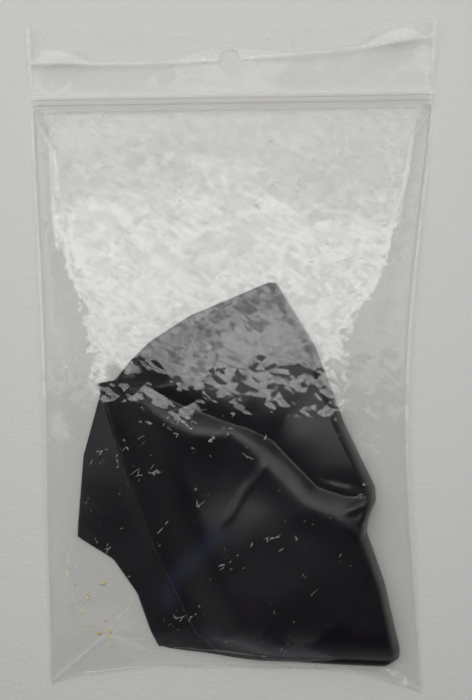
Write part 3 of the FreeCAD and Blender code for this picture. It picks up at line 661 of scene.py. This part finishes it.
def foot_fold_points(columns, around):
    """Half a roll: at each place along the foot, half an ellipse from the back film's edge round to
    the front film's edge, as deep as half their distance but no deeper than FOLD_REACH."""
    turn, u = np.meshgrid(np.linspace(-np.pi / 2, np.pi / 2, around), np.linspace(-1, 1, columns),
                          indexing="ij")
    x = u * (HALF_WIDTH - 1.6)
    y = foot_edge(u * HALF_WIDTH) + FOLD_START
    low = back_height(u, x, y)
    high = front_height(u, x, y)
    reach = np.minimum(0.5 * (high - low), FOLD_REACH)
    z = (low + high) / 2 + (high - low) / 2 * np.sin(turn)
    return np.stack([x, y - reach * np.cos(turn), z], -1)


fold_points = foot_fold_points(FOLD_COLUMNS, FOLD_AROUND)
foot_fold = add_piece("foot_fold", fold_points, grid_faces(FOLD_AROUND, FOLD_COLUMNS), CLEAR_FILM,
                      ("bottom_fold",))
thicken(foot_fold, FILM)


# %% Side welds
WELD_WIDTH, WELD_THICKNESS = 1.1, 0.3
LIP_SIDE_SLOPE = 0.17


def lip_rise(y):
    """How far the sides of the lip lift off the table towards its top: a straight slope."""
    return LIP_SIDE_SLOPE * np.maximum(y - ZIP_TOP, 0)


def weld_points(side, rows=260):
    """A flat bead along one side: a four-sided section carried from the foot's corner to the top
    of the lip, following the side's line and lift."""
    y = np.linspace(FOOT + 0.2, TOP - 0.2, rows)
    x = side_edge(side, y)
    z = side_lift(y) + 0.12 * swell(x, y, 6.0, 8) + lip_rise(y)
    across = -side * WELD_WIDTH * np.array([0, 1, 1, 0])
    up = WELD_THICKNESS / 2 * np.array([-1, -1, 1, 1])
    return np.stack([x[:, None] + across, y[:, None] + 0 * across, z[:, None] + up], -1)


def tube_faces(rows, around, flip):
    """Side faces of a section carried along a path, and one face over each end. Flip turns all of
    them round, for a section whose points run the other way."""
    index = np.arange(rows * around).reshape(rows, around)
    after = np.roll(index, -1, axis=1)
    sides = np.stack([index[:-1], after[:-1], after[1:], index[1:]], -1).reshape(-1, 4)
    faces = sides.tolist() + [index[0, ::-1].tolist(), index[-1].tolist()]
    return [face[::-1] for face in faces] if flip else faces


for name, side, replaced in (("left_weld", LEFT, "left_side_weld"),
                             ("right_weld", RIGHT, "right_side_weld")):
    points = weld_points(side)
    faces = tube_faces(*points.shape[:2], side == LEFT)
    add_piece(name, points, np.array(faces, dtype=object), WELDED_FILM, (replaced,),
              smooth=False)

# %% [markdown]
# ## The lip
# Above the closure both films go on for two centimetres, as the lip that fingers pull apart. It
# has been handled, so it bends: it climbs gently from the closure to a long crease, stands up from
# there to an edge that waves, and lies flat round the hang hole. A painted highlight whitens the
# crease into a bright line across the lip, and near each side a short level patch behind it gets a
# painted highlight too.

# %% Lip shape
LIP_EDGE = [(-60, 101.0), (-47, 98.6), (-34, 97.0), (-25, 97.3), (-14, 95.6), (-6, 95.0), (4, 95.0),
            (9, 96.0), (14, 96.9), (32, 96.8), (45, 98.4), (60, 101.2)]
LIP_CREASE = [(-60, 91.4), (-20, 91.0), (0, 91.6), (30, 93.4), (60, 97.0)]
LIP_CLIMB = math.radians(17)
LIP_LENGTH = TOP - ZIP_TOP
HOLE_X, HOLE_Y, HOLE_RADIUS = 0.0, 91.5, 3.0
HOLE_FLAT, HOLE_FREE = 4.0, 21.0  # the lip is flat this near to the hole, and free beyond
LEVEL_LENGTH = 3.2                # length of the level patches behind the crease


def lip_whites_and_highlights(s, x, y, off, near, wide):
    """Painted highlight along the crease, on the level patches and as a thin haze beside the hole,
    and a little white on the free edge and on the hole's rim. Off is the way past the crease."""
    streaks = 0.6 + 0.4 * swell(x, 0.25 * y, 2.4, 63)
    patch = wide * ease(-0.8, 0.4, off) * (1 - ease(1.5, 4.2, off)) * streaks
    line = np.exp(-((off + 0.4) / 0.42) ** 2) * (1 - near * ease(3.5, 2.5, np.abs(x - HOLE_X)))
    broken = 0.65 + 0.35 * swell(x, y, 7.0, 64)
    haze = sum(np.exp(-((x - px) / 12) ** 2 - ((y - 87.5) / 3.2) ** 2) for px in (-14, 11)) * streaks
    rim = ease(0.5, 0, LIP_LENGTH - s)
    ring = np.exp(-((np.hypot(x - HOLE_X, y - HOLE_Y) - HOLE_RADIUS) / 0.4) ** 2)
    return 0.32 * line * broken + 0.3 * patch + 0.04 * haze + 0.06 * rim + 0.12 * ring


def lip_sheet(rows, columns, base):
    """The lip by its own length s: it leaves the closure at the climb's angle, bends up past the
    crease, and ends above LIP_EDGE, with every column as long as the lip is. Near is 1 beside the
    hang hole, where it lies flat, and wide is 1 on the level patches. A rounded bead follows the
    crease, and slow waves are added."""
    s, u = np.meshgrid(np.linspace(0, LIP_LENGTH, rows), np.linspace(-1, 1, columns), indexing="ij")
    x = u * (HALF_WIDTH - 0.2)
    near = 1 - ease(HOLE_FLAT, HOLE_FREE, np.abs(x - HOLE_X))
    wide = ease(38, 50, np.abs(x + 1)) * (1 - ease(53, 58, np.abs(x + 1)))
    crease = through(LIP_CREASE, x) - ZIP_TOP
    past_hole = np.maximum(HOLE_Y + HOLE_RADIUS + 0.4 - ZIP_TOP - crease, 0)
    bend = crease + LEVEL_LENGTH * wide + near * past_hole
    climb = LIP_CLIMB * (1 - near) * (1 - 0.4 * np.abs(u) ** 8)
    reach = (through(LIP_EDGE, x) - ZIP_TOP - bend * np.cos(climb)) / (LIP_LENGTH - bend)
    steep = np.arccos(np.clip(reach, -0.1, 1.0))
    level = climb * (1 - wide * ease(-1.5, 0.5, s - crease))
    turn = level + (steep - level) * ease(-0.8, 1.0, s - bend)
    step = LIP_LENGTH / (rows - 1)
    y = ZIP_TOP + CLOSURE_GAP + np.cumsum(np.cos(turn), axis=0) * step
    rise = np.cumsum(np.sin(turn), axis=0) * step
    off = s - crease
    width = 0.75 + 2.0 * wide
    bead = 0.33 * width * np.exp(-((off + 0.8) / width) ** 2)
    wave = 0.22 * swell(x, y, 14, 61) + 0.16 * facets(x, y, 8, 62)
    calm = ease(0, 5, s) * (1 - 0.9 * near * (1 - ease(9, 15, s)))
    points = np.stack([x, y, base + rise + calm * (bead + wave)], -1)
    return points, lip_whites_and_highlights(s, x, y, off, near, wide)


def punch(points, faces):
    """Drop the faces in the hang hole, and move the points left inside it out to its circle. The
    numbers of the points kept are given too."""
    points = points.reshape(-1, 3).copy()
    away = np.hypot(points[:, 0] - HOLE_X, points[:, 1] - HOLE_Y)
    kept = faces[away[faces].mean(axis=1) > HOLE_RADIUS]
    used = np.unique(kept)
    inner = used[away[used] < HOLE_RADIUS]
    outward = (points[inner, :2] - (HOLE_X, HOLE_Y)) / away[inner, None]
    points[inner, :2] = (HOLE_X, HOLE_Y) + outward * HOLE_RADIUS
    order = np.full(len(points), -1)
    order[used] = np.arange(len(used))
    return points[used], order[kept], used


# %% Lips
LIP_ROWS, LIP_COLUMNS = 56, 260


def make_lip(name, base, replaced):
    """One lip film, from its height at the closure: its sheet with the hang hole punched."""
    sheet, whites_and_highlights = lip_sheet(LIP_ROWS, LIP_COLUMNS, base)
    points, faces, used = punch(sheet, grid_faces(LIP_ROWS, LIP_COLUMNS))
    lip = add_piece(name, points, faces, LIP_FILM, (replaced,))
    # Painted highlights and white edges, as point values.
    set_values(lip, "crease", whites_and_highlights.ravel()[used])
    return thicken(lip, FILM)


make_lip("back_lip_film", 0.25, "back_lip")
front_lip = make_lip("front_lip_film", 1.75, "front_lip")

# %% [markdown]
# ## The closure
# The closure is two extruded strips: a rib on the back film that snaps between two hooked jaws on
# the front film. The solid rib is kept as it is. The jaws get their own mesh here; the real jaws bow
# when the mouth is pulled open, but this mesh is not made to bend.

# %% Zip jaws
JAW_SECTION = [(0.0, 1.73), (1.15, 1.73), (1.15, 1.05), (1.4, 0.75), (1.62, 0.9), (1.5, 1.2),
               (1.5, 1.73), (2.7, 1.73), (2.7, 1.2), (2.58, 0.9), (2.8, 0.75), (3.05, 1.05),
               (3.05, 1.73), (4.2, 1.73), (4.2, 1.88), (3.2, 1.9), (2.9, 2.02), (2.6, 1.9),
               (1.6, 1.9), (1.3, 2.02), (1.0, 1.9), (0.0, 1.88)]


def jaw_points(columns):
    """The jaws' section carried across the bag, with a slight waviness in height."""
    section = np.array(JAW_SECTION)
    x = np.linspace(-HALF_WIDTH + 0.5, HALF_WIDTH - 0.5, columns)
    wave = 0.08 * swell(x, x, 12, 71)
    shape = np.ones((columns, len(section)))
    return np.stack([x[:, None] * shape, ZIP_FOOT + section[:, 0] * shape,
                     section[:, 1] * shape + wave[:, None]], -1)


points = jaw_points(120)
faces = tube_faces(*points.shape[:2], True)
zip_jaws = add_piece("zip_jaws", points, np.array(faces, dtype=object), ZIP_FILM,
                     ("zip_channel",), smooth=False)

# %% [markdown]
# ## The folded leather
# One thin sheet, folded at the foot of the bag: the back layer lies on the back film, the front
# layer comes over the cake. The front layer has slumped into a fold of its own, a rounded ridge
# that runs from its left tip down to a pinch at the right edge, with a crease behind it. Rows of the
# grid run across the sheet, up the back layer, round the fold and up the front layer, so that it is
# one surface from end to end.

# %% Leather outlines
FRONT_LEFT = [(-90, -4), (-84, -12), (-75, -16.5), (-66, -21), (-57, -25), (-39, -31), (-18, -37.6),
              (-7, -40.7), (-5.4, -41.2), (-4.6, -35.8), (1, -31.3), (7.2, -25), (15.3, -12.3),
              (22, 4), (25.4, 12.0)]
FRONT_RIGHT = [(-90, 51.5), (-86, 51.6), (-67, 46.8), (-51, 41.2), (-47, 41.8), (-41, 44.0),
               (-37, 43.6), (-18, 34.4), (5.8, 25.4), (22, 15.5), (25.4, 13.4)]
BACK_LEFT = [(-90, -23), (-84, -26), (-72, -30), (-61, -37.5), (-54, -48.6), (-50, -48.4),
             (-28, -46.2), (-8, -40.4)]
BACK_RIGHT = [(-90, 47), (-60, 40), (-30, 34), (-8, 20)]
CREST = [(-41, -6), (-25, -13.3), (-10.7, -19.3), (-4, -19.8), (0.2, -19.2), (5.0, -22.5),
         (11.1, -29.0), (22.5, -40.0), (33.0, -45.0), (41.0, -51.4)]
CREASE = [(-40, 3), (-23.8, -6.9), (-13.9, -11.4), (-2.8, -15.4), (4.9, -17.7), (12.4, -21.5),
          (20.1, -29.3), (26.1, -35.3), (34.7, -38.0), (43.8, -37.9)]
PINCHES = [([(24, -33.6), (43.5, -38.2)], 0.8, 1.1), ([(33, -43.2), (43.5, -39.0)], 0.9, 1.2),
           ([(-4, -49), (0.3, -44.4), (3.9, -37.3), (10.0, -29.2)], 0.45, 1.2)]
BACK_TIP, FOLD_Y, FRONT_TIP = -8.0, -89.0, 25.2
LEATHER_THICKNESS = 0.55


def edge_line(points, y):
    """Straight runs between an outline's (y, x) points."""
    places, values = np.array(points, float).T
    return np.interp(y, places, values)


# %% Leather heights
RIDGE, PLATEAU, MOUND = 1.9, 6.6, 1.7
LEFT_FALL, LEFT_RIM, RIGHT_RIM, FOOT_RIM = 21.0, 2.0, 3.6, 12.0


def slumped_roll(x, y):
    """The ridge, from its crest to the crease behind it. On the crest's lower side it falls as
    exp(-distance^1.7). Between crest and crease it is a parabola that drops about half of their
    distance apart, and behind the crease the sheet climbs again over 3 mm, then falls slowly. The
    ridge grows over the crest's first tenth, and its last tenth fades to half."""
    below_crest, along = beside(CREST, x, y)
    from_crease, _ = beside(CREASE, x, y)
    apart = np.maximum(below_crest - from_crease, 0.8)
    drop = (0.5 - 0.14 * ease(0.5, 0.65, along)) * apart * np.clip(below_crest / apart, 0, 1) ** 2
    behind = np.maximum(from_crease, 0)
    climb = 1.6 * (1 - np.exp(-behind / 3.0)) - 2.6 * ease(6, 34, behind)
    lower = RIDGE * np.exp(-(np.maximum(-below_crest, 0) / 6.5) ** 1.7)
    roll = np.where(below_crest < 0, lower, RIDGE - drop + climb)
    return roll * ease(0.0, 0.10, along) * (1 - 0.5 * ease(0.9, 1.0, along))


def front_leather_height(x, y):
    """A plateau that falls off slowly towards the left edge and steeply at the right and foot rims,
    a low mound over the cake, the slumped roll, and small pinched folds that run from it."""
    left, right = edge_line(FRONT_LEFT, y), edge_line(FRONT_RIGHT, y)
    plateau = 1.0 + PLATEAU * ease(0, LEFT_FALL, x - left)
    mound = MOUND * ease(1.0, 0.3, np.hypot((x - CAKE_X) / 30.0, (y - CAKE_Y) / 28.0))
    pinch = sum(drawn([(line, wide, high)], x, y) * ease(0, 0.4, beside(line, x, y)[1])
                for line, high, wide in PINCHES)
    left_rim = 1 - (1 - np.clip((x - left) / LEFT_RIM, 0, 1)) ** 2.5
    right_rim = 1 - (1 - np.clip((right - x) / RIGHT_RIM, 0, 1)) ** 2.5
    foot_rim = 0.42 + 0.58 * (1 - (1 - np.clip((y - FOLD_Y + 0.2) / FOOT_RIM, 0, 1)) ** 2.5)
    waves = 0.35 * swell(x, y, 21, 81) + 0.12 * swell(x, y, 7, 82)
    high = plateau + mound + slumped_roll(x, y) + pinch + waves * ease(0, 12, x - left)
    return 1.5 + np.maximum(high, 0.6) * left_rim * right_rim * foot_rim


def wear_and_highlight_share(x, y, t):
    """How pale the finish is painted: rubbed wear with a painted highlight line at the cut edges, and
    painted highlight along the crest and the pinches.
    """
    edges = np.maximum(1.0 * (t == 0), 0.5 * (t == 1))
    crest = 0.2 * np.exp(-((beside(CREST, x, y)[0] - 0.6) / 1.1) ** 2)
    folds = sum(drawn([(line, 0.6, 0.3)], x, y) * ease(0.2, 0.9, beside(line, x, y)[1])
                for line, _, _ in PINCHES)
    return np.clip(edges + crest + folds, 0, 1)


def painted_blue_reflection(x, y):
    """A painted bluish reflection on the leather, in two soft strips."""
    strips = [([(-4, -50), (-10.8, -58.5), (-17.9, -66.4), (-20, -74)], 2.8, 0.6),
              ([(-8, -84), (11.8, -87), (28, -88)], 2.2, 0.5)]
    return drawn(strips, x, y)


def back_leather_height(x, y):
    """Flat on the back film, with slight waves."""
    return 0.75 + 0.2 * swell(x, y, 18, 85)


# %% Leather sheet
def leather_points(columns):
    """Rows across the sheet: the back layer from its top down to the foot, a half circle round
    the fold, and the front layer up to its tip."""
    t = np.linspace(0, 1, columns)
    back_y = np.linspace(BACK_TIP, FOLD_Y, 70)[:, None] + 0 * t
    front_y = np.linspace(FOLD_Y, FRONT_TIP, 150)[:, None] + 0 * t
    back_x = edge_line(BACK_LEFT, back_y) * (1 - t) + edge_line(BACK_RIGHT, back_y) * t
    front_x = edge_line(FRONT_LEFT, front_y) * (1 - t) + edge_line(FRONT_RIGHT, front_y) * t
    back = np.stack([back_x, back_y, back_leather_height(back_x, back_y)], -1)
    front = np.stack([front_x, front_y, front_leather_height(front_x, front_y)], -1)
    turn = np.linspace(0, np.pi, 14)[1:-1, None] + 0 * t
    part = turn / np.pi
    middle = back[-1] * (1 - part[..., None]) + front[0] * part[..., None]
    radius = (front[0, :, 2] - back[-1, :, 2]) / 2
    middle[..., 1] -= 1.1 * radius * np.sin(turn)
    middle[..., 2] = back[-1, :, 2] + radius * (1 - np.cos(turn))
    rows = np.concatenate([back, middle, front])
    # Cut edges of the back layer get half: rubbed wear and a painted highlight line.
    wear_and_highlight = np.concatenate([0.5 * (t == 0) + 0 * back_y, 0 * turn, wear_and_highlight_share(front_x, front_y, t)])
    rows[..., 1] -= 1.6 * (rows[..., 0] + 22) / 70 * ease(-60, FOLD_Y, rows[..., 1])
    return rows, wear_and_highlight


leather_rows, leather_wear_and_highlight = leather_points(120)
leather = add_piece("black_leather_sheet", leather_rows, grid_faces(*leather_rows.shape[:2]), LEATHER,
                    ("leather_wrap",))
# Rubbed wear with painted highlight, and painted bluish reflection, as point values.
set_values(leather, "wear_and_highlight", leather_wear_and_highlight)
set_values(leather, "painted_reflection", painted_blue_reflection(leather_rows[..., 0], leather_rows[..., 1]))
thicken(leather, LEATHER_THICKNESS)

# %% [markdown]
# ## Chips of rosin
# Rosin is brittle, and a few crumbs have come off the cake and lie in the corner of the bag. Each
# is a small flat splinter with sharp edges.

# %% Rosin chips
CHIP_CORNERS = np.array([(-1, -0.7, 0), (0.2, -1, 0), (1, 0.1, 0), (-0.1, 0.9, 0),
                         (-0.5, -0.3, 1), (0.4, -0.2, 0.8), (0.05, 0.4, 0.9)])
CHIP_FACES = [(3, 2, 1, 0), (0, 1, 5, 4), (1, 2, 5), (2, 3, 6, 5), (3, 0, 4, 6), (4, 5, 6)]


def chip_points(count, seed):
    """Copies of one splinter, each turned about the vertical, scaled and put down in the corner."""
    rng = np.random.default_rng(seed)
    turn = rng.uniform(0, 2 * np.pi, count)[:, None]
    size = rng.uniform(0.35, 1.0, count)[:, None]
    cx, cy = rng.uniform(-51, -38, count)[:, None], rng.uniform(-90, -63, count)[:, None]
    px, py, pz = CHIP_CORNERS.T
    x = cx + size * (px * np.cos(turn) - py * np.sin(turn))
    y = cy + size * (px * np.sin(turn) + py * np.cos(turn))
    return np.stack([x, y, 0.45 + 0.6 * size * pz], -1)


CHIP_COUNT, CHIP_SEED = 11, 12
chips = chip_points(CHIP_COUNT, CHIP_SEED)
chip_faces = [[corner + len(CHIP_CORNERS) * i for corner in face]
              for i in range(CHIP_COUNT) for face in CHIP_FACES]
add_piece("rosin_chips", chips, np.array(chip_faces, dtype=object), ROSIN, ("rosin_crumbs",),
          smooth=False)

# %% [markdown]
# ## How the pieces are held
# In the real bag the mouth lifts the front film, its lip and its jaws off the back film, and the welds
# hold their ends down, so each point takes a share of the turn: it grows from the hinge line up to the
# closure, and falls from the middle out to the welds. Here those three only have their placement
# baked into their points, and the other pieces are hung on the bag's body.

# %% Motion
def bow(piece):
    """Bake a piece's placement into its points and read the points back; no blend to the mouth or share
    of the turn is set."""
    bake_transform(piece)
    co = np.empty(3 * len(piece.data.vertices))
    piece.data.vertices.foreach_get("co", co)


bow(front_film)
bow(zip_jaws)
bow(front_lip)
for name in ("back_film", "foot_fold", "left_weld", "right_weld", "back_lip_film",
             "black_leather_sheet", "rosin_chips"):
    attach(bpy.data.objects[name], "bag")

# %% [markdown]
# ## Table and light
# A pale table and one large soft window-like lamp above the lip's end. The lamp's size is what
# matters: its mirror image covers the upper half of the bag and stops where the film tips away. It is
# clouded, and dims towards its far end.

# %% Table
REACH = 3.0  # metres of table on each side of the bag
SPECK_WIDTH = 1.3
corners = [(-REACH, -REACH, 0), (REACH, -REACH, 0), (REACH, REACH, 0), (-REACH, REACH, 0)]
table_mesh = bpy.data.meshes.new("table")
table_mesh.from_pydata(corners, [], [(0, 1, 2, 3)])
table = bpy.data.objects.new("table", table_mesh)
bpy.context.collection.objects.link(table)
TABLE, tree = new_material("pale_laminate")
place = add_node(tree, "TexCoord").outputs["Object"]
speck = add_node(tree, "TexNoise", None, {"Scale": 1000 / SPECK_WIDTH, "Detail": 2.0},
                 {"Vector": place})
tone = add_node(tree, "ValToRGB", None, None, {"Fac": speck.outputs["Fac"]})
set_ramp(tone, (0.0, "#cfcec9"), (1.0, "#d5d4d0"))
bump = add_node(tree, "Bump", None, {"Strength": 1.0, "Distance": 0.00016},
                {"Height": speck.outputs["Fac"]})
top = add_node(tree, "BsdfPrincipled", None, {"Roughness": 0.6},
               {"Base Color": tone.outputs["Color"], "Normal": bump.outputs["Normal"]})
add_node(tree, "OutputMaterial", None, None, {"Surface": top.outputs["BSDF"]})
table_mesh.materials.append(TABLE)

# %% Lamp
LAMP_WIDTH, LAMP_DEPTH, LAMP_AWAY = 0.72, 0.66, 0.45
LAMP_TILT = math.radians(27)
LAMP_LEVEL = 2.55  # strength of its face, where 1 renders white
lamp = bpy.data.objects.new("window_lamp", bpy.data.lights.new("window_lamp", "AREA"))
lamp.data.shape = "RECTANGLE"
lamp.data.size = LAMP_WIDTH
lamp.data.size_y = LAMP_DEPTH
lamp.data.energy = math.pi * lamp.data.size * lamp.data.size_y * LAMP_LEVEL
lamp.location = (-0.03, LAMP_AWAY * math.sin(LAMP_TILT), LAMP_AWAY * math.cos(LAMP_TILT))
lamp.rotation_euler = (-LAMP_TILT, 0, 0)
bpy.context.collection.objects.link(lamp)
lamp.data.use_nodes = True
panes = lamp.data.node_tree
spot = add_node(panes, "NewGeometry").outputs["Parametric"]
cloud = add_node(panes, "TexNoise", None, {"Scale": 10.0, "Detail": 2.0}, {"Vector": spot})
glow = add_node(panes, "MapRange", None, {"From Min": 0.36, "From Max": 0.56, "To Min": 0.45,
                "To Max": 1.15}, {"Value": cloud.outputs["Fac"]})
height = add_node(panes, "SeparateXYZ", None, None, {0: spot})
near = add_node(panes, "MapRange", None, {"From Max": 0.5, "To Min": 0.9, "To Max": 1.15},
                {"Value": height.outputs["Y"]})
far = add_node(panes, "MapRange", None, {"From Min": 0.45, "From Max": 0.58, "To Min": 1.0,
               "To Max": 0.4}, {"Value": height.outputs["Y"]})
fade = add_node(panes, "Math", {"operation": "MULTIPLY"}, None,
                {0: near.outputs["Result"], 1: far.outputs["Result"]})
strength = add_node(panes, "Math", {"operation": "MULTIPLY"}, None,
                    {0: glow.outputs["Result"], 1: fade.outputs["Value"]})
panes.links.new(strength.outputs["Value"], panes.nodes["Emission"].inputs["Strength"])
print("lamp", round(lamp.data.energy, 2), "W")

# %% [markdown]
# ## The room
# A dim world stands for the room round the table, pale low down and dark overhead, so that film which
# tips away from the lamp mirrors something soft.

# %% World
world = bpy.data.worlds.new("studio")
bpy.context.scene.world = world
world.use_nodes = True
sky = world.node_tree
way = add_node(sky, "SeparateXYZ", None, None, {0: add_node(sky, "TexCoord").outputs["Generated"]})
walls = add_node(sky, "MapRange", None, {"From Min": 0.1, "From Max": 0.75, "To Min": 0.34,
                 "To Max": 0.035}, {"Value": way.outputs["Z"]})
sky.nodes["Background"].inputs["Color"].default_value = linear("#f2f2f4")
sky.links.new(walls.outputs["Result"], sky.nodes["Background"].inputs["Strength"])
